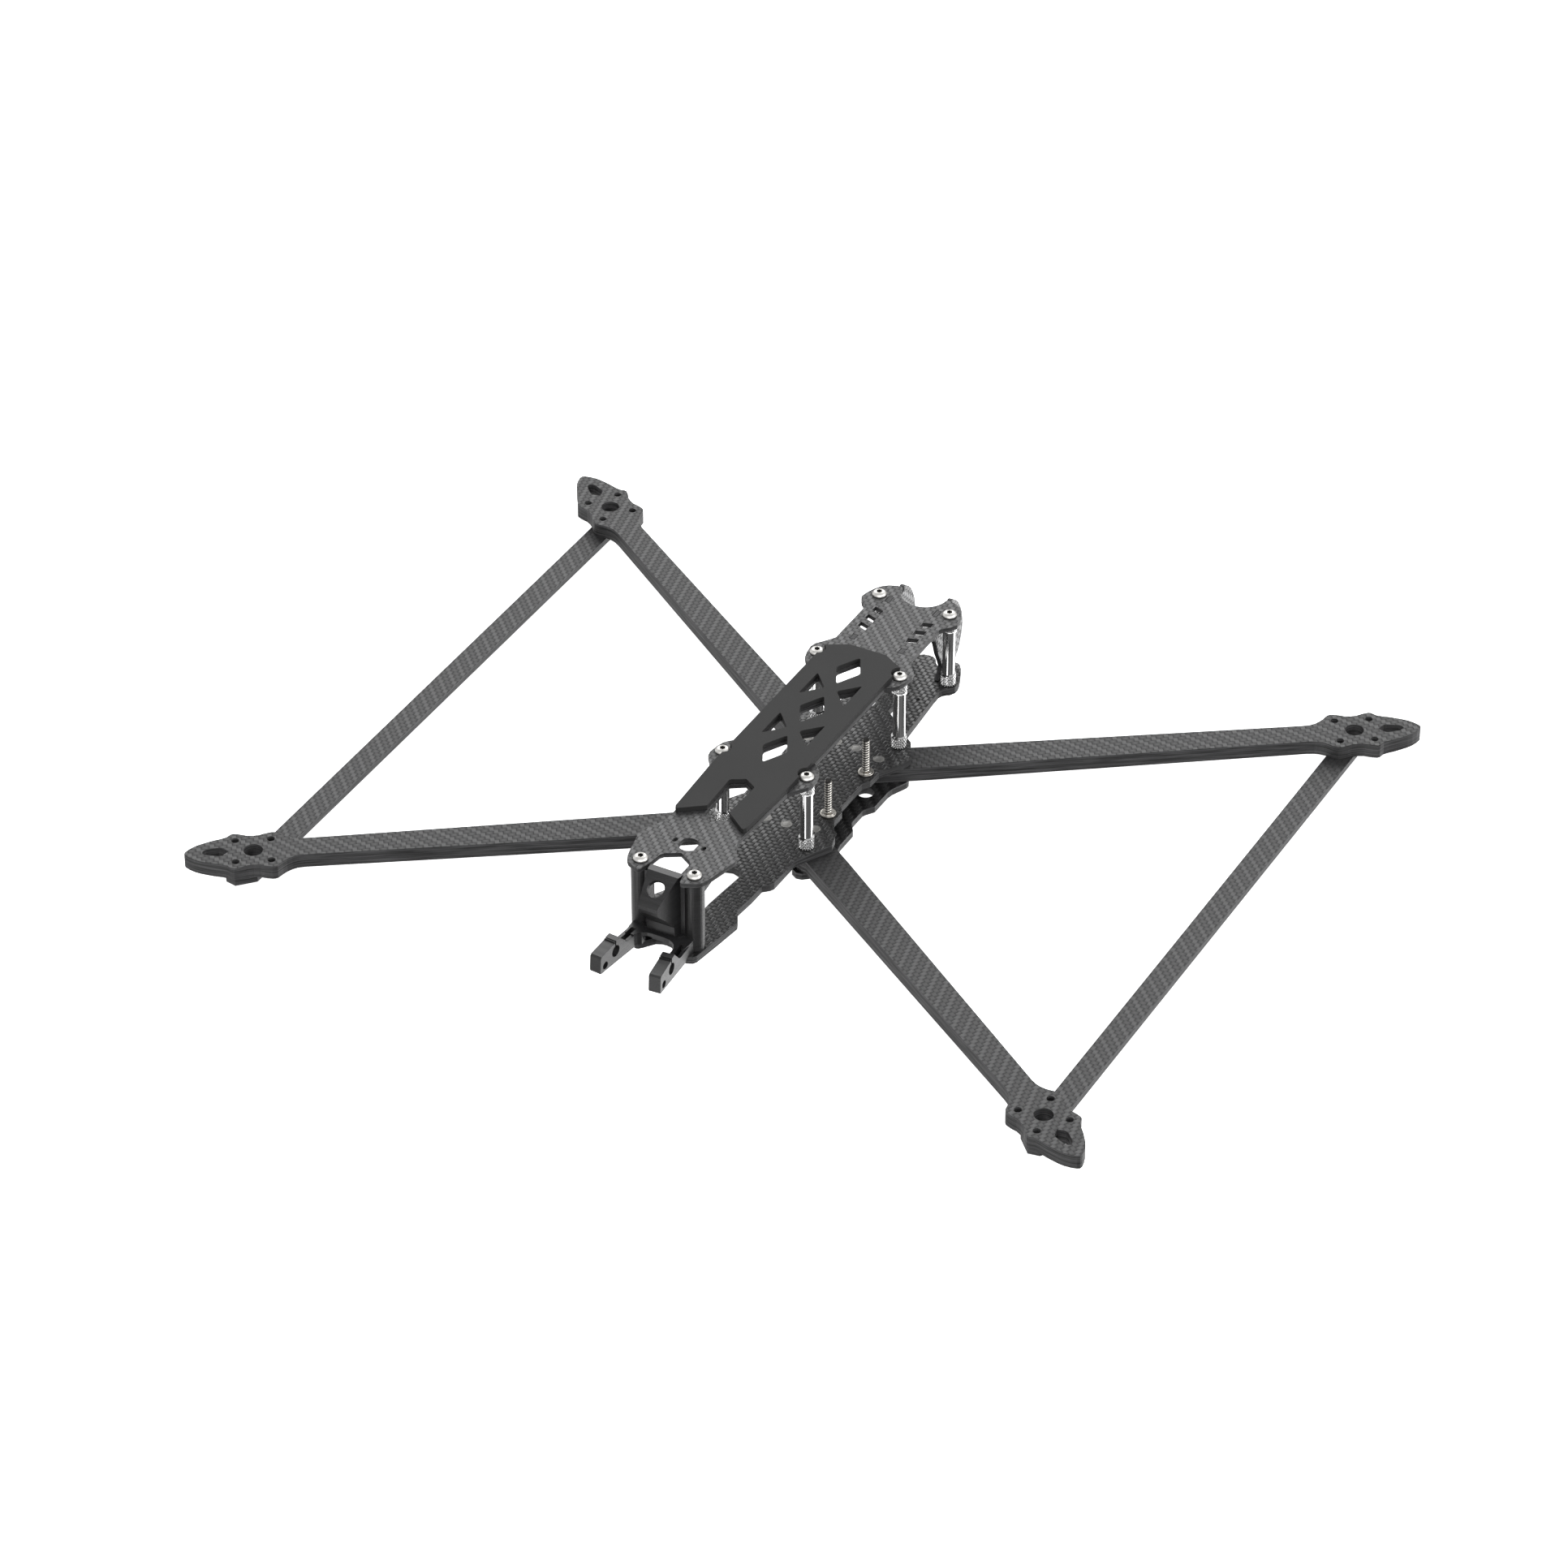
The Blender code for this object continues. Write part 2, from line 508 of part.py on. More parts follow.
def clamp_inserts():
    cap = MID_T - 0.55
    profile = [(0.0, MID_T), (INSERT_R, MID_T), (INSERT_R, 0.1), (BORE_R, 0.1), (BORE_R, cap), (0.0, cap)]
    mesh = turned("clamp_insert", profile, 14, STEEL)
    for label, spot in zip(("inner", "outer"), CLAMPS):
        for x, y in quads(*spot):
            place(f"insert_{label}_{side_name(x, y)}", mesh, x, y, Z_MID)


def stack_nuts():
    profile = [(2.3, 1.3), (2.4, 1.0), (3.1, 0.9), (3.1, GAP), (BORE_R, GAP), (BORE_R, 1.3)]
    mesh = turned("stack_nut", profile, 16, STEEL)
    for x, y in quads(STACK, STACK):
        place(f"stack_nut_{side_name(x, y)}", mesh, x, y, Z_DECK)


def standoffs():
    chamfer = 0.3
    top = STANDOFF_H - GAP
    knurl = [(KNURL_R - chamfer, 0.0), (KNURL_R, chamfer), (KNURL_R, KNURL_H), (STANDOFF_R, KNURL_H + 0.5)]
    upper = [(r, top + GAP - h) for r, h in knurl]
    upper[0] = (upper[0][0], top)
    lower = [(r, max(h, GAP)) for r, h in reversed(knurl)]
    profile = [*upper, *lower, (BORE_R, GAP), (BORE_R, top)]
    mesh = turned("standoff", profile, 16, ALUMINIUM)
    for x, y in quads(MAIN_X, MAIN_Y):
        place(f"standoff_{side_name(x, y)}", mesh, x, y, Z_DECK)
    for x, y in pair(TAIL_X, TAIL_Y):
        place(f"standoff_tail_{side_name(x)}", mesh, x, y, Z_DECK)


# Camera mount

def upright(name, profile, thickness, x=0.0, turn=0.0):
    """An outline of (along Y, up) standing in the YZ plane at x."""
    rotation = (math.radians(90.0), 0.0, math.radians(90.0) + turn)
    return sheet_tool(name, profile, thickness, rotation, (x, 0.0, Z_DECK))


def prong(side):
    """One fork prong, drawn from its root and splayed outwards, with its holes cut."""
    turn = side * PRONG_SPLAY
    place_at = (side * PRONG_ROOT_X, PRONG_ROOT_Y, Z_DECK)
    rotation = (math.radians(90.0), 0.0, math.radians(90.0) + turn)
    body = sheet_tool(f"prong_{side_name(side)}", PRONG, PRONG_T, rotation, place_at)
    cuts = []
    for label, (along, up, radius) in (("clamp", CLAMP_HOLE), ("pivot", PIVOT_HOLE)):
        hole = circle(along, up, radius, 20)
        cuts.append((f"{label}_hole_{side_name(side)}", hole, PRONG_T + 4.0))
    along, up, radius = CLAMP_HOLE
    half = SLIT_W / 2
    slit = [(along - half, up), (along + half, up), (along + half, up + 9.0), (along - half, up + 9.0)]
    cuts.append((f"slit_{side_name(side)}", slit, PRONG_T + 4.0))
    for name, outline, width in cuts:
        combine(body, sheet_tool(name, outline, width, rotation, place_at), "DIFFERENCE")
    return cutter(to_mesh(body, CUTTERS))


def tie_slot(side):
    """The slot down through a prong's root, in line with the prong."""
    front, rear = TIE_SLOT
    outline = [(front, -2.0), (rear, -2.0), (rear, 14.0), (front, 14.0)]
    rotation = (math.radians(90.0), 0.0, math.radians(90.0) + side * PRONG_SPLAY)
    place_at = (side * PRONG_ROOT_X, PRONG_ROOT_Y, Z_DECK)
    return sheet_tool(f"tie_slot_{side_name(side)}", outline, TIE_SLOT_W, rotation, place_at)


def camera_mount():
    deck = Z_DECK
    low = deck + GAP
    high = deck + STANDOFF_H - GAP
    base_t = BASE_TOP - GAP
    body = sheet_tool("mount_base", mirror_x(BASE_PLAN), base_t, location=(0.0, 0.0, low + base_t / 2))
    step = sheet_tool("mount_step", mirror_x(STEP_PLAN), 2 * STEP_H, location=(0.0, 0.0, deck + BASE_TOP))
    combine(body, step, "UNION")
    hood = upright("mount_hood", HOOD, 20.0)
    combine(hood, sheet_tool("hood_plan", mirror_x(HOOD_PLAN), 90.0), "INTERSECT")
    cavity = upright("mount_cavity", HOOD_CAVITY, 20.0)
    combine(cavity, sheet_tool("cavity_plan", mirror_x(CAVITY_PLAN), 90.0), "INTERSECT")
    cavity = cutter(to_mesh(cavity, CUTTERS))
    combine(hood, cavity, "DIFFERENCE")
    view = rod_tool("hood_hole", HOOD_HOLE_R, 14.0, (0.0, HOOD_HOLE_Y, deck + HOOD_HOLE_Z),
                    (HOOD_TILT, 0.0, 0.0), 24)
    combine(hood, view, "DIFFERENCE")
    hood = cutter(to_mesh(hood, CUTTERS))
    combine(body, hood, "UNION")
    for side in (1, -1):
        x = side * NOSE_X
        label = side_name(side)
        post = rod_tool(f"post_{label}", POST_R, high - low, (x, NOSE_Y, (low + high) / 2), sides=28)
        inner, outer = sorted((side * 6.0, side * (NOSE_X - 1.0)))
        web = box_tool(f"web_{label}", (inner, WEB_Y, low + 0.5), (outer, WEB_Y + WEB_T, high - 0.4))
        combine(body, post, "UNION")
        combine(body, web, "UNION")
        combine(body, prong(side), "UNION")
        combine(body, tie_slot(side), "DIFFERENCE")
    recess = box_tool("shelf_recess", (-RECESS_X, BASE_FRONT - 2.0, low - 2.0),
                      (RECESS_X, BASE_FRONT + RECESS_DEPTH, deck + BASE_TOP - SHELF_T))
    combine(body, recess, "DIFFERENCE")
    for x, y in pair(NOSE_X, NOSE_Y):
        bore = rod_tool(f"post_bore_{side_name(x)}", BORE_R, 60.0, (x, y, Z_TOP - 15.0), sides=16)
        combine(body, bore, "DIFFERENCE")
    solid = to_mesh(body, PARTS)
    solid.name = "camera_mount"
    solid.data.materials.clear()
    solid.data.materials.append(MOULDED)


clear_scene()
PARTS = collection(NAME)
CUTTERS = collection("cutters")
CARBON = material("carbon_fibre", (0.10, 0.10, 0.105), 0.45)
PAD = material("pad_rubber", (0.03, 0.03, 0.032), 0.6)
MOULDED = material("moulded_black", (0.025, 0.025, 0.027), 0.4)
STEEL = material("stainless_steel", (0.62, 0.61, 0.58), 0.3, 1.0)
ALUMINIUM = material("polished_aluminium", (0.82, 0.82, 0.83), 0.2, 1.0)

bottom_plate()
mid_plate()
top_plate()
battery_pad()
for sign_x in (1, -1):
    side_brace(sign_x)
    tail_guard(sign_x)
    for sign_y in (1, -1):
        arm(sign_x, sign_y)
standoffs()
screws()
clamp_inserts()
stack_nuts()
camera_mount()
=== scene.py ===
"""Looks for the quadcopter airframe: weave, edges, knurls, threads, moulded plastic, studio."""
import math

import bmesh
import bpy
from mathutils import Euler, Matrix, Vector


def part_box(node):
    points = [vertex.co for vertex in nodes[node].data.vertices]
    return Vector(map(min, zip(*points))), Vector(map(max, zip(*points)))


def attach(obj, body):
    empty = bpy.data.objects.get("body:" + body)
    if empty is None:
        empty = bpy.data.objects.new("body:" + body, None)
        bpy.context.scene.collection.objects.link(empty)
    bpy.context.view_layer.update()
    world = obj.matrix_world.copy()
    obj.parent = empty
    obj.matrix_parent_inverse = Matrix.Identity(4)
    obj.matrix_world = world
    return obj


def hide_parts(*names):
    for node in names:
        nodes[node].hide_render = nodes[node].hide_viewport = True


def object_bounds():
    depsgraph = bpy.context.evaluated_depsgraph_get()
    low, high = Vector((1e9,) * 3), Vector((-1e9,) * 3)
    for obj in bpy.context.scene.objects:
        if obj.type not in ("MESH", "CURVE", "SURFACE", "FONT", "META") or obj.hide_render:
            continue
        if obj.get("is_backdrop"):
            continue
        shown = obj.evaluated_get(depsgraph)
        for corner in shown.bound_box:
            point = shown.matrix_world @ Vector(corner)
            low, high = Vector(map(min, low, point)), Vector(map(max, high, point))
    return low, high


MM = 0.001
TAU = math.tau

# Camera
CAMERA_AT = (0.86729, -1.62027, 1.33112)
CAMERA_RIGHT = (0.878844, 0.477109, 0.000227)
CAMERA_FORWARD = (-0.387577, 0.714201, -0.582839)
LENS, SENSOR = 136.4, 36.0
CLIP_NEAR, CLIP_FAR = 0.05, 60.0

# Room, as soft patches of light on a sphere round the object. Each has its direction, the
# cosine of the angle from it where the patch is full, the cosine where it ends, and a strength.
# The first is full all round. Those with a downward direction stand for light from the pale
# floor, which is itself left out of reflections and bounced light.
ROOM = (
    ((0.0, 0.0, 1.0), -1.0, -1.0001, 0.08),
    ((0.0, 0.0, 1.0), 0.7, -0.1, 0.36),
    ((-0.39, 0.71, 0.58), 0.97, 0.8, 2.6),
    ((0.39, 0.71, -0.58), 0.975, 0.84, 2.8),
    ((-0.16, -0.80, -0.58), 0.98, 0.88, 2.2),
    ((-0.81, 0.08, -0.58), 0.95, 0.78, 1.1),
    ((0.39, -0.71, 0.58), 0.95, 0.75, 1.2),
)
# A ring of the same patch, just above the horizon
HORIZON_PATCHES, HORIZON_RISE = 6, 0.15
HORIZON_FULL, HORIZON_END, HORIZON_STRENGTH = 0.95, 0.65, 0.38

# Floor and lamp, in metres and watts
FLOOR_SIZE, FLOOR_DROP, FLOOR_GLOW = 12.0, 0.0002, 0.97
LAMP_AT, LAMP_SIZE, LAMP_POWER = (2.2, 0.6, 1.2), (1.4, 1.4), 28.0

# Carbon cloth: a tow is one woven strand, REPEAT is the twill's repeat in tows, and seams are
# the pale lines on a cut edge. A surface is a face of the plate, and not a cut edge, where
# its normal's share through the plate is over FACE_FROM.
TOW, REPEAT = 1.67 * MM, 4.0
PLY = 0.26 * MM
SEAM, SEAM_SHARE = 1.9 * MM, 0.07
ARM_ANGLE = math.radians(33.6)
FACE_TONE, PLY_TONE, FLECK_TONE, SEAM_TONE = 0.037, 0.01, 0.14, 0.028
FLECK_FROM = 0.32
TOW_END_ROUGHNESS, EDGE_ROUGHNESS = 0.9, 0.62
CLOTH_HEIGHT, EDGE_RELIEF = 0.12 * MM, 0.25
FIBRE_FINE, FIBRE_LONG = 5200.0, 300.0
FACE_FROM = 0.8

# Moulded parts
LAYER = 0.4 * MM

# Hardware, in millimetres; a head's dome is an arc of an ellipse turned about its axis
HEAD_H, HEAD_R, HEX_R, HEX_DEPTH, SOCKET_R = 1.65, 2.85, 1.12, 1.05, 1.32
DOME_MIDDLE_R, DOME_W, DOME_FOOT, DOME_H = 0.35, 2.55, 0.06, 1.62
SHANK_R = 1.35
STUD_PLAIN, THREAD_LEAD_IN = 3.2, 0.4
THREAD_R, THREAD_DEPTH, THREAD_PITCH, THREAD_SLOPE = 1.49, 0.35, 1.1, 2.6
KNURL_H, KNURL_R, KNURL_DEPTH, BARREL_R = 4.8, 3.0, 0.4, 2.45
KNURL_COUNT, KNURL_PITCH, KNURL_SLOPE, KNURL_LIP = 18, 1.7, 5.0, 0.25
NUT_FLANGE_R, NUT_BARREL_R, NUT_HOLE_R = 3.1, 2.4, 1.4
DISC_R, DISC_RIM_R, DISC_PROUD = 2.24, 1.75, 0.03

# Edges of the plates and moulded parts, in millimetres
PLATE_BEVEL, MOULDED_BEVEL, WELD_AT = 0.22, 0.3, 0.002

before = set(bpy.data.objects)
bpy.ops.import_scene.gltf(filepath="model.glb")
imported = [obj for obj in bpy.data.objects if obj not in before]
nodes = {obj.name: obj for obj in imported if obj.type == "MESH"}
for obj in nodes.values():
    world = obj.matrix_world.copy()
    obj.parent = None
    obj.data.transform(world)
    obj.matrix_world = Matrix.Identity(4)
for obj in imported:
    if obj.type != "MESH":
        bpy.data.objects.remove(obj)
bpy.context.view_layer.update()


class Shade:
    """Builds one material's node tree."""

    def __init__(self, name):
        self.material = bpy.data.materials.new(name)
        self.material.use_nodes = True
        self.tree = self.material.node_tree
        self.shader = self.tree.nodes["Principled BSDF"]

    def node(self, kind, **settings):
        made = self.tree.nodes.new(kind)
        for key, value in settings.items():
            setattr(made, key, value)
        return made

    def feed(self, socket, value):
        if isinstance(value, bpy.types.NodeSocket):
            self.tree.links.new(value, socket)
        else:
            socket.default_value = value

    def math(self, operation, *values):
        made = self.node("ShaderNodeMath", operation=operation)
        for socket, value in zip(made.inputs, values):
            self.feed(socket, value)
        return made.outputs[0]

    def mix(self, factor, a, b):
        """a where factor is 0 and b where it is 1, for plain numbers."""
        made = self.node("ShaderNodeMix", data_type="FLOAT")
        for socket, value in zip(made.inputs[:1] + made.inputs[2:4], (factor, a, b)):
            self.feed(socket, value)
        return made.outputs[0]

    def grey(self, value, tint=(1.0, 1.0, 1.0)):
        """A colour from one number."""
        made = self.node("ShaderNodeCombineColor")
        for socket, share in zip(made.inputs, tint):
            self.feed(socket, self.math("MULTIPLY", value, share))
        return made.outputs[0]

    def place(self, turn=0.0, upright=False):
        """Object coordinates in metres, turned about Z; upright puts Y and Z in the plane."""
        at = self.node("ShaderNodeTexCoord").outputs["Object"]
        spin = self.node("ShaderNodeVectorRotate", rotation_type="Z_AXIS")
        self.feed(spin.inputs["Vector"], at)
        spin.inputs["Angle"].default_value = turn
        split = self.node("ShaderNodeSeparateXYZ")
        self.feed(split.inputs[0], spin.outputs[0])
        x, y, z = split.outputs
        return (y, z, x, at) if upright else (x, y, z, at)

    def noise(self, scale, at, detail=2.0, stretch=None):
        """Soft noise from 0 to 1; stretch multiplies the scale along X, Y and Z."""
        made = self.node("ShaderNodeTexNoise")
        made.inputs["Scale"].default_value = scale
        made.inputs["Detail"].default_value = detail
        if stretch is not None:
            squeeze = self.node("ShaderNodeVectorMath", operation="MULTIPLY")
            self.feed(squeeze.inputs[0], at)
            squeeze.inputs[1].default_value = stretch
            at = squeeze.outputs[0]
        self.feed(made.inputs["Vector"], at)
        return made.outputs["Fac"]

    def bump(self, height, strength, distance):
        made = self.node("ShaderNodeBump")
        made.inputs["Strength"].default_value = strength
        made.inputs["Distance"].default_value = distance
        self.feed(made.inputs["Height"], height)
        self.feed(self.shader.inputs["Normal"], made.outputs[0])

    def finish(self, colour, roughness, metallic=0.0):
        self.feed(self.shader.inputs["Base Color"], colour)
        self.feed(self.shader.inputs["Roughness"], roughness)
        self.shader.inputs["Metallic"].default_value = metallic
        return self.material


def carbon(name, turn=0.0, upright=False, lift=1.0, dark=0.5, gloss=0.38, round_over=0.6,
           contrast=0.18, relief=0.5):
    """Two-by-two twill on the faces of a plate and fine plies on its cut edges.

    turn is the cloth's angle about Z, and upright is for a plate that faces along X. lift
    brightens or darkens the whole cloth, which on the mid and bottom plates paints shade and on
    the guard paints light; dark is the painted shade where tows dive, gloss is its roughness,
    round_over shapes a tow's arch, contrast sets warp and weft apart and relief is the bump's
    strength.
    """
    s = Shade(name)
    m = s.math
    across, along, through, at = s.place(turn, upright)
    u, v = m("DIVIDE", across, TOW), m("DIVIDE", along, TOW)
    i, j = m("FLOOR", u), m("FLOOR", v)
    phase = m("FLOORED_MODULO", m("ADD", i, j), REPEAT)
    weft = m("GREATER_THAN", phase, 1.5)
    warp_run = m("DIVIDE", m("FLOORED_MODULO", m("ADD", i, v), REPEAT), REPEAT / 2)
    weft_run = m("DIVIDE", m("FLOORED_MODULO", m("ADD", u, j), REPEAT), REPEAT / 2)
    weft_run = m("SUBTRACT", weft_run, 1.0)
    run = s.mix(weft, warp_run, weft_run)
    side = s.mix(weft, m("FRACT", u), m("FRACT", v))
    arch = m("SINE", m("MULTIPLY", run, math.pi))
    crown = m("POWER", m("MAXIMUM", arch, 0.0), round_over)
    off_middle = m("ABSOLUTE", m("MULTIPLY_ADD", side, 2.0, -1.0))
    shoulder = m("SUBTRACT", 1.0, m("POWER", off_middle, 8.0))
    height = m("MULTIPLY", crown, shoulder)
    fibre_a = s.noise(1.0, at, 1.0, (FIBRE_FINE, FIBRE_LONG, FIBRE_LONG))
    fibre_b = s.noise(1.0, at, 1.0, (FIBRE_LONG, FIBRE_FINE, FIBRE_LONG))
    fibre = s.mix(weft, fibre_a, fibre_b)
    ends = m("POWER", m("MAXIMUM", arch, 0.0), round_over * 0.7)
    # Where a tow dives under its neighbour, its tone falls towards dark: painted shade in the
    # weave's creases
    dive_shade = s.mix(weft, dark, dark / 10.0)
    lying = s.mix(weft, 1.07 + contrast, 1.07 - contrast)
    tone = s.mix(ends, dive_shade, lying)
    # Painted shade along a tow's sides, in the creases between tows
    tone = m("MULTIPLY", tone, m("MULTIPLY_ADD", shoulder, 0.25, 0.75))
    tone = m("MULTIPLY", tone, m("MULTIPLY_ADD", fibre, 0.5, 0.75))
    face_tone = m("MULTIPLY", tone, FACE_TONE * lift)

    ply = m("FRACT", m("DIVIDE", through, PLY))
    ply = m("ABSOLUTE", m("MULTIPLY_ADD", ply, 2.0, -1.0))
    squeeze = (1.0, 0.04, 0.04) if upright else (0.04, 0.04, 1.0)
    grain = s.noise(1500.0, at, 2.0, squeeze)
    wander = m("MULTIPLY_ADD", s.noise(60.0, at, 1.0), 0.5, m("DIVIDE", through, SEAM))
    seam = m("LESS_THAN", m("ABSOLUTE", m("SUBTRACT", m("FRACT", wander), 0.5)), SEAM_SHARE)
    fleck = m("MULTIPLY", m("MAXIMUM", m("SUBTRACT", grain, FLECK_FROM), 0.0), FLECK_TONE)
    edge_tone = m("MULTIPLY_ADD", ply, PLY_TONE, fleck)
    edge_tone = m("MULTIPLY_ADD", seam, SEAM_TONE, edge_tone)

    facing = s.node("ShaderNodeSeparateXYZ")
    s.feed(facing.inputs[0], s.node("ShaderNodeNewGeometry").outputs["Normal"])
    flat = m("GREATER_THAN", m("ABSOLUTE", facing.outputs["X" if upright else "Z"]), FACE_FROM)
    s.bump(s.mix(flat, m("MULTIPLY", ply, EDGE_RELIEF), height), relief, CLOTH_HEIGHT)
    colour = s.grey(s.mix(flat, edge_tone, face_tone), (1.0, 1.0, 1.03))
    cloth_roughness = s.mix(ends, TOW_END_ROUGHNESS, s.mix(weft, gloss, gloss + 0.08))
    return s.finish(colour, s.mix(flat, EDGE_ROUGHNESS, cloth_roughness))


def rubber(name):
    """Dull black rubber with a fine grain."""
    s = Shade(name)
    at = s.place()[3]
    grain = s.noise(2600.0, at, 2.0)
    cloud = s.noise(45.0, at, 2.0)
    s.bump(grain, 0.25, 0.05 * MM)
    tone = s.math("MULTIPLY_ADD", cloud, 0.006, s.math("MULTIPLY_ADD", grain, 0.005, 0.006))
    return s.finish(s.grey(tone), s.math("MULTIPLY_ADD", grain, 0.1, 0.72))


def printed(name):
    """Black plastic laid down in thin level layers."""
    s = Shade(name)
    m = s.math
    _, _, z, at = s.place()
    layer = m("SINE", m("MULTIPLY", z, TAU / LAYER))
    drift = s.noise(1.0, at, 2.0, (90.0, 90.0, 1400.0))
    height = m("MULTIPLY_ADD", layer, 0.35, drift)
    s.bump(height, 0.6, 0.07 * MM)
    tone = m("MULTIPLY_ADD", drift, 0.018, 0.007)
    return s.finish(s.grey(tone, (1.0, 1.0, 1.04)), m("MULTIPLY_ADD", drift, 0.16, 0.3))


def metal(name, tone, roughness, tint):
    """Bare metal, a little uneven in tone and polish."""
    s = Shade(name)
    at = s.place()[3]
    wear = s.noise(900.0, at, 3.0, (1.0, 1.0, 0.25))
    s.bump(wear, 0.06, 0.03 * MM)
    colour = s.grey(s.math("MULTIPLY_ADD", wear, 0.12, tone - 0.06), tint)
    return s.finish(colour, s.math("MULTIPLY_ADD", wear, 0.12, roughness - 0.06), 1.0)


# Finer hardware

def tube_mesh(name, rings, sides, mat, angle=32.0, recess=None):
    """A closed form from rings of (radius or function of the turn and height, height).

    recess is (a test on a face's radius and height in millimetres, a darker material that
    paints the shade down in the recess), and angle is the fold in degrees from which an edge is
    sharp.
    """
    work = bmesh.new()
    loops = []
    for radius, height in rings:
        loop = []
        for k in range(sides):
            turn = TAU * k / sides
            r = radius(turn, height) if callable(radius) else radius
            at = (r * MM * math.cos(turn), r * MM * math.sin(turn), height * MM)
            loop.append(work.verts.new(at))
        loops.append(loop)
    for low, high in zip(loops, loops[1:]):
        for k in range(sides):
            n = (k + 1) % sides
            work.faces.new((low[k], low[n], high[n], high[k]))
    work.faces.new(list(reversed(loops[0])))
    work.faces.new(loops[-1])
    bmesh.ops.recalc_face_normals(work, faces=work.faces)
    if recess is not None:
        for face in work.faces:
            middle = face.calc_center_median() / MM
            corner = max(math.hypot(v.co.x, v.co.y) for v in face.verts) / MM
            if recess[0](corner, middle.z):
                # A face down in the recess takes the second material, a painted shade
                face.material_index = 1
    mesh = bpy.data.meshes.new(name)
    work.to_mesh(mesh)
    work.free()
    mesh.materials.append(mat)
    if recess is not None:
        mesh.materials.append(recess[1])
    mesh.shade_smooth()
    mesh.set_sharp_from_angle(angle=math.radians(angle))
    return mesh


# Tests of whether a face lies down in a recess, where a darker steel paints the shade

def in_socket(radius, height):
    return 0.3 < height < HEAD_H - 0.02 and radius < SOCKET_R - 0.01


def in_groove(radius, _height):
    return BARREL_R + 0.05 < radius < KNURL_R - 0.5 * KNURL_DEPTH


def in_thread(radius, height):
    return height < -STUD_PLAIN - 0.1 and radius < THREAD_R - 0.45 * THREAD_DEPTH


def hexagon(turn, _height):
    """Radius of the hexagonal socket at an angle."""
    half = TAU / 12
    return HEX_R * math.cos(half) / math.cos((turn % (TAU / 6)) - half)


def head_rings():
    """Button head from its seat at 0, over the dome and down into the hexagonal socket."""
    rings = [(HEAD_R - 0.12, 0.0), (HEAD_R, 0.12), (HEAD_R, 0.34)]
    for k in range(1, 8):
        a = math.radians(8 + 62 * k / 7)
        rings.append((DOME_MIDDLE_R + DOME_W * math.cos(a), DOME_FOOT + DOME_H * math.sin(a)))
    floor = HEAD_H - HEX_DEPTH
    rings += [(SOCKET_R, HEAD_H), (hexagon, HEAD_H - 0.14), (hexagon, floor), (0.2, floor - 0.2)]
    return rings


def thread(turn, height):
    """Radius of a helical thread at an angle and height."""
    saw = (height / THREAD_PITCH - turn / TAU) % 1.0
    return THREAD_R - THREAD_DEPTH * min(1.0, THREAD_SLOPE * abs(saw - 0.5))


def knurl(turn, height):
    """Diamonds between two families of crossing grooves."""
    a = abs((turn / TAU * KNURL_COUNT + height / KNURL_PITCH) % 1.0 - 0.5)
    b = abs((turn / TAU * KNURL_COUNT - height / KNURL_PITCH) % 1.0 - 0.5)
    raised = min(1.0, KNURL_SLOPE * min(0.5 - a, 0.5 - b))
    return KNURL_R - KNURL_DEPTH + KNURL_DEPTH * raised


def screw_mesh(name, length):
    return tube_mesh(name, [(SHANK_R, -length), (SHANK_R, 0.0)] + head_rings(), 48, STEEL,
                     recess=(in_socket, PAINTED_SHADE_STEEL))


def stud_mesh(name, length):
    """A button screw with a cut thread, plain for STUD_PLAIN under its head."""
    threaded = length - STUD_PLAIN - THREAD_LEAD_IN
    steps = int(threaded / (THREAD_PITCH / 9))
    rings = [(THREAD_R - THREAD_DEPTH, -length)]
    for k in range(steps + 1):
        rings.append((thread, -length + THREAD_LEAD_IN + threaded * k / steps))
    rings += [(SHANK_R, -STUD_PLAIN), (SHANK_R, 0.0)]
    return tube_mesh(name, rings + head_rings(), 40, BEIGE, 40.0, recess=(in_thread, PAINTED_SHADE_STEEL))


def standoff_mesh(name, length):
    """A round standoff with a knurled band at each end."""
    rings = [(KNURL_R - 0.5, 0.0), (KNURL_R - 0.3, KNURL_LIP)]
    rows = 26
    for k in range(rows + 1):
        rings.append((knurl, KNURL_LIP + (KNURL_H - 0.5 - KNURL_LIP) * k / rows))
    rings += [(KNURL_R - 0.1, KNURL_H - 0.45), (KNURL_R, KNURL_H - 0.3), (KNURL_R, KNURL_H)]
    rings.append((BARREL_R, KNURL_H + 0.35))
    upper = [(radius, length - height) for radius, height in reversed(rings)]
    return tube_mesh(name, rings + upper, 144, ALUMINIUM, 24.0, recess=(in_groove, PAINTED_SHADE_STEEL))


def nut_mesh(name, height):
    """A flanged nut, from the foot of its flange to the top of its barrel."""
    rings = [(NUT_FLANGE_R - 0.05, 0.0), (NUT_FLANGE_R, 0.12), (NUT_FLANGE_R, 0.62), (2.98, 0.74)]
    rings += [(NUT_BARREL_R + 0.1, 0.8), (NUT_BARREL_R, 0.95), (2.32, height), (NUT_HOLE_R, height)]
    return tube_mesh(name, rings, 48, BEIGE)


def disc_mesh(name, depth):
    """A press insert, seen as a round disc with a low rim; its face is at 0."""
    rings = [(2.0, -depth), (DISC_R, -depth + 0.1), (DISC_R, 0.0), (2.18, DISC_PROUD)]
    rings += [(DISC_RIM_R, DISC_PROUD), (DISC_RIM_R - 0.05, 0.0), (1.62, 0.02)]
    return tube_mesh(name, rings, 48, DISC)


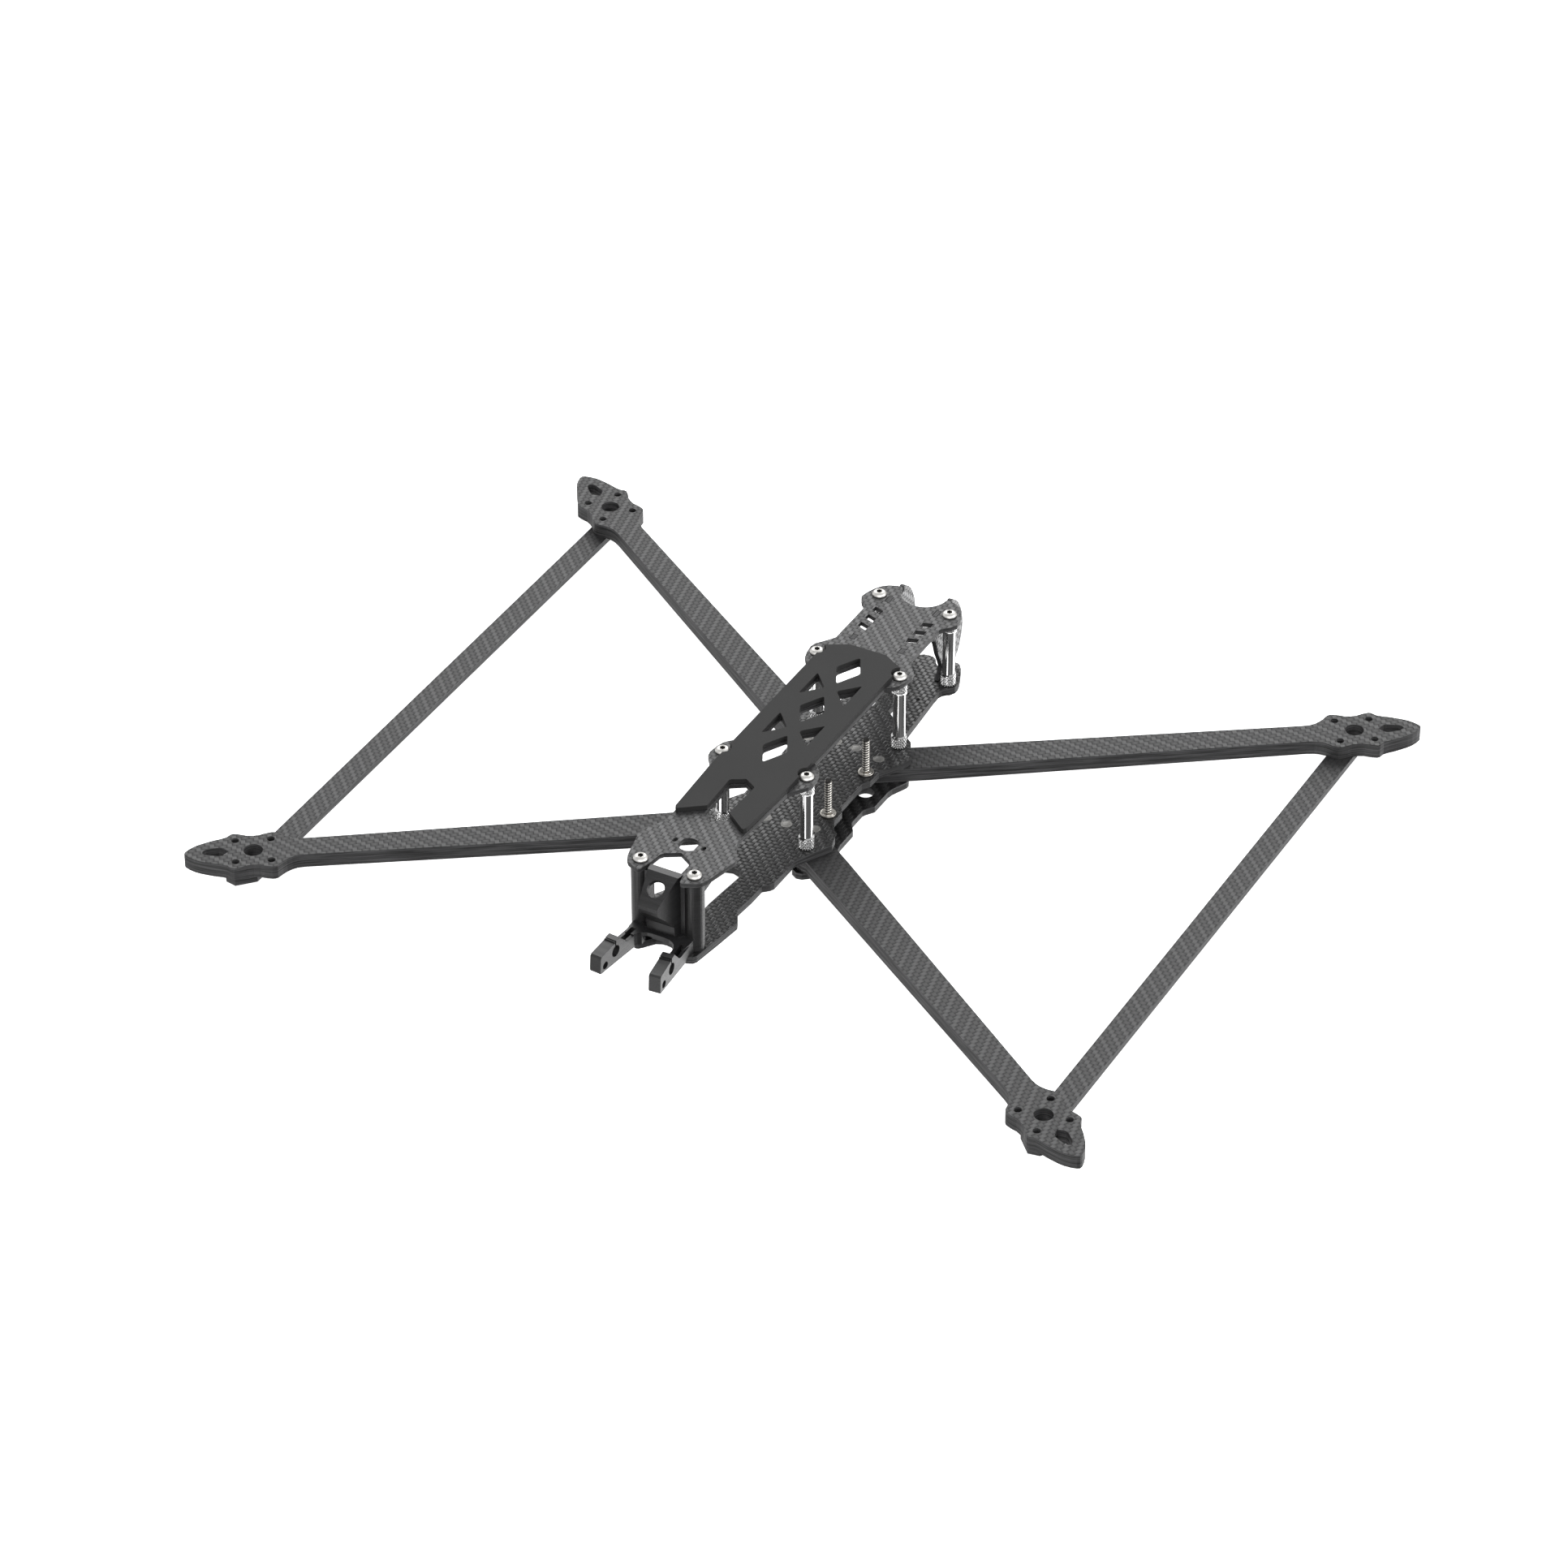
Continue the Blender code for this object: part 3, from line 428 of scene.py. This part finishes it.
def stand_in(node, name, mesh, at, flip=False):
    """Shows a fine mesh in place of a CAD node."""
    obj = bpy.data.objects.new(name, mesh)
    obj.location = at
    if flip:
        obj.rotation_euler = Euler((math.pi, 0.0, 0.0))
    bpy.context.scene.collection.objects.link(obj)
    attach(obj, "root")
    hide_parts(node)


def over(low, high, z):
    """A point at height z in the middle of a box in plan."""
    return Vector(((low.x + high.x) / 2, (low.y + high.y) / 2, z))


def seat(node, flip):
    """Centre of a screw's head seat and its length below the head, from its node's box."""
    low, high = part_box(node)
    z = low.z + HEAD_H * MM if flip else high.z - HEAD_H * MM
    return over(low, high, z), (high.z - low.z) / MM - HEAD_H


# Materials

CARBON = carbon("carbon_plate")
# The guard's cloth is made three times as bright: painted light
CARBON_UPRIGHT_LIT = carbon("carbon_guard_painted_light", upright=True, lift=3.0, gloss=0.16, contrast=0.3, relief=0.8)
# The mid and bottom plates are darker copies of the cloth, black where tows dive and with strong
# warp-weft contrast. This is painted shade under the top plate, together with a deeper bump.
DEEP_WEAVE_AND_SHADE = {"dark": 0.0, "round_over": 0.9, "contrast": 0.6, "relief": 1.0}
CARBON_MID_SHADED = carbon("carbon_mid_painted_shade", lift=0.5, gloss=0.24, **DEEP_WEAVE_AND_SHADE)
CARBON_LOW_SHADED = carbon("carbon_low_painted_shade", lift=0.4, gloss=0.3, **DEEP_WEAVE_AND_SHADE)
CARBON_BRACE = carbon("carbon_brace", lift=0.7, gloss=0.46, contrast=0.05, relief=0.2)
SMOOTH = {"lift": 0.6, "gloss": 0.45, "contrast": 0.12, "relief": 0.35}
CARBON_ARM_A = carbon("carbon_arm_a", turn=ARM_ANGLE, **SMOOTH)
CARBON_ARM_B = carbon("carbon_arm_b", turn=-ARM_ANGLE, **SMOOTH)
PAD = rubber("battery_pad_rubber")
BLACK = printed("camera_mount_black")
STEEL = metal("stainless_screw", 0.8, 0.36, (1.0, 0.985, 0.95))
BEIGE = metal("stainless_stud", 0.5, 0.3, (1.0, 0.96, 0.89))
ALUMINIUM = metal("aluminium_standoff", 0.9, 0.14, (1.0, 1.0, 1.0))
# Painted shade: a dark steel for the faces down in hex sockets, thread roots and knurl grooves
PAINTED_SHADE_STEEL = metal("steel_recess_painted_shade", 0.1, 0.5, (1.0, 0.97, 0.93))
DISC = metal("clamp_disc", 0.24, 0.5, (1.0, 0.985, 0.95))

# The material of each part that isn't metal, by the start of its name
SURFACES = {
    "top_plate": CARBON,
    "mid_plate": CARBON_MID_SHADED,
    "bottom_plate": CARBON_LOW_SHADED,
    "side_brace": CARBON_BRACE,
    "tail_guard": CARBON_UPRIGHT_LIT,
    "arm_front_left": CARBON_ARM_A,
    "arm_front_right": CARBON_ARM_B,
    "arm_rear_left": CARBON_ARM_B,
    "arm_rear_right": CARBON_ARM_A,
    "battery_pad": PAD,
    "camera_mount": BLACK,
}


def soften(node, width):
    """Joins the facets of flat faces, then rounds the sharp edges."""
    weld = node.modifiers.new("weld", "WELD")
    weld.merge_threshold = WELD_AT * MM
    join = node.modifiers.new("join", "DECIMATE")
    join.decimate_type = "DISSOLVE"
    join.angle_limit = math.radians(0.5)
    bevel = node.modifiers.new("edge", "BEVEL")
    bevel.width = width * MM
    bevel.segments = 2
    bevel.limit_method = "ANGLE"
    bevel.angle_limit = math.radians(38.0)
    bevel.harden_normals = False
    bevel.use_clamp_overlap = True


for name in sorted(nodes):
    node = nodes[name]
    surface = next((mat for start, mat in SURFACES.items() if name.startswith(start)), None)
    node.data.materials.clear()
    node.data.materials.append(surface or STEEL)
    if surface is not None:
        moulded = name in ("battery_pad", "camera_mount")
        soften(node, MOULDED_BEVEL if moulded else PLATE_BEVEL)

fine_meshes = {}


def shared(key, make, name, length):
    """One mesh for all the parts of a kind."""
    if key not in fine_meshes:
        fine_meshes[key] = make(name, length)
    return fine_meshes[key]


for name in sorted(nodes):
    low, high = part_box(name)
    height = (high.z - low.z) / MM
    if name.startswith("screw_"):
        flip = not name.startswith("screw_top")
        at, length = seat(name, flip)
        mesh = shared(round(length, 2), screw_mesh, f"button_screw_{len(fine_meshes)}", length)
        stand_in(name, name + "_fine", mesh, at, flip)
    elif name.startswith("stack_screw"):
        at, length = seat(name, True)
        mesh = shared("stud", stud_mesh, "stack_stud", length)
        stand_in(name, name + "_fine", mesh, at, True)
    elif name.startswith("stack_nut"):
        mesh = shared("nut", nut_mesh, "flange_nut", height)
        stand_in(name, name + "_fine", mesh, over(low, high, low.z))
    elif name.startswith("insert"):
        mesh = shared("disc", disc_mesh, "clamp_disc", height)
        stand_in(name, name + "_fine", mesh, over(low, high, high.z))
    elif name.startswith("standoff"):
        mesh = shared("standoff", standoff_mesh, "knurled_standoff", height)
        stand_in(name, name + "_fine", mesh, over(low, high, low.z))


# Studio

def studio():
    """A pale floor that glows evenly and is left out of reflections and bounced light."""
    mesh = bpy.data.meshes.new("floor")
    work = bmesh.new()
    bmesh.ops.create_grid(work, x_segments=1, y_segments=1, size=FLOOR_SIZE)
    work.to_mesh(mesh)
    work.free()
    floor = bpy.data.objects.new("floor", mesh)
    floor.location.z = -FLOOR_DROP
    bpy.context.scene.collection.objects.link(floor)
    s = Shade("pale_floor")
    s.finish((0.9, 0.9, 0.9, 1.0), 0.9)
    s.shader.inputs["Emission Color"].default_value = (1.0, 1.0, 1.0, 1.0)
    s.shader.inputs["Emission Strength"].default_value = FLOOR_GLOW
    mesh.materials.append(s.material)
    floor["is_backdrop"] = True
    floor.visible_glossy = False
    floor.visible_diffuse = False


def surroundings():
    """The room's light: the sum of the patches in ROOM and a ring of them at the horizon."""
    world = bpy.data.worlds.new("studio")
    world.use_nodes = True
    tree = world.node_tree
    ray = tree.nodes.new("ShaderNodeTexCoord").outputs["Generated"]
    patches = list(ROOM)
    for k in range(HORIZON_PATCHES):
        a = TAU * (k + 0.5) / HORIZON_PATCHES
        direction = (math.cos(a), math.sin(a), HORIZON_RISE)
        patches.append((direction, HORIZON_FULL, HORIZON_END, HORIZON_STRENGTH))
    total = None
    for direction, full, end, strength in patches:
        dot = tree.nodes.new("ShaderNodeVectorMath")
        dot.operation = "DOT_PRODUCT"
        tree.links.new(ray, dot.inputs[0])
        dot.inputs[1].default_value = Vector(direction).normalized()
        patch = tree.nodes.new("ShaderNodeMapRange")
        patch.interpolation_type = "SMOOTHSTEP"
        for socket, value in zip(patch.inputs[1:5], (end, full, 0.0, strength)):
            socket.default_value = value
        tree.links.new(dot.outputs["Value"], patch.inputs[0])
        if total is None:
            total = patch.outputs[0]
            continue
        add = tree.nodes.new("ShaderNodeMath")
        tree.links.new(total, add.inputs[0])
        tree.links.new(patch.outputs[0], add.inputs[1])
        total = add.outputs[0]
    background = tree.nodes["Background"]
    tree.links.new(total, background.inputs["Strength"])
    background.inputs["Color"].default_value = (1.0, 1.0, 1.0, 1.0)
    bpy.context.scene.world = world


def lamp(name, at, size, power):
    """A soft panel aimed at the origin."""
    data = bpy.data.lights.new(name, "AREA")
    data.shape = "RECTANGLE"
    data.size, data.size_y = size
    data.energy = power
    obj = bpy.data.objects.new(name, data)
    obj.location = at
    obj.rotation_mode = "QUATERNION"
    obj.rotation_quaternion = (-Vector(at)).to_track_quat("-Z", "Y")
    bpy.context.scene.collection.objects.link(obj)


def camera():
    """A long lens off the nose on the +X side, looking down at the airframe."""
    data = bpy.data.cameras.new("camera")
    data.lens, data.sensor_width = LENS, SENSOR
    data.clip_start, data.clip_end = CLIP_NEAR, CLIP_FAR
    obj = bpy.data.objects.new("camera", data)
    right = Vector(CAMERA_RIGHT).normalized()
    forward = Vector(CAMERA_FORWARD).normalized()
    up = right.cross(forward)
    turn = Matrix((right, up, -forward)).transposed()
    obj.matrix_world = Matrix.Translation(CAMERA_AT) @ turn.to_4x4()
    bpy.context.scene.collection.objects.link(obj)
    bpy.context.scene.camera = obj


studio()
surroundings()
lamp("side_panel", LAMP_AT, LAMP_SIZE, LAMP_POWER)
camera()
bpy.context.scene.view_settings.view_transform = "Standard"

low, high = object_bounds()
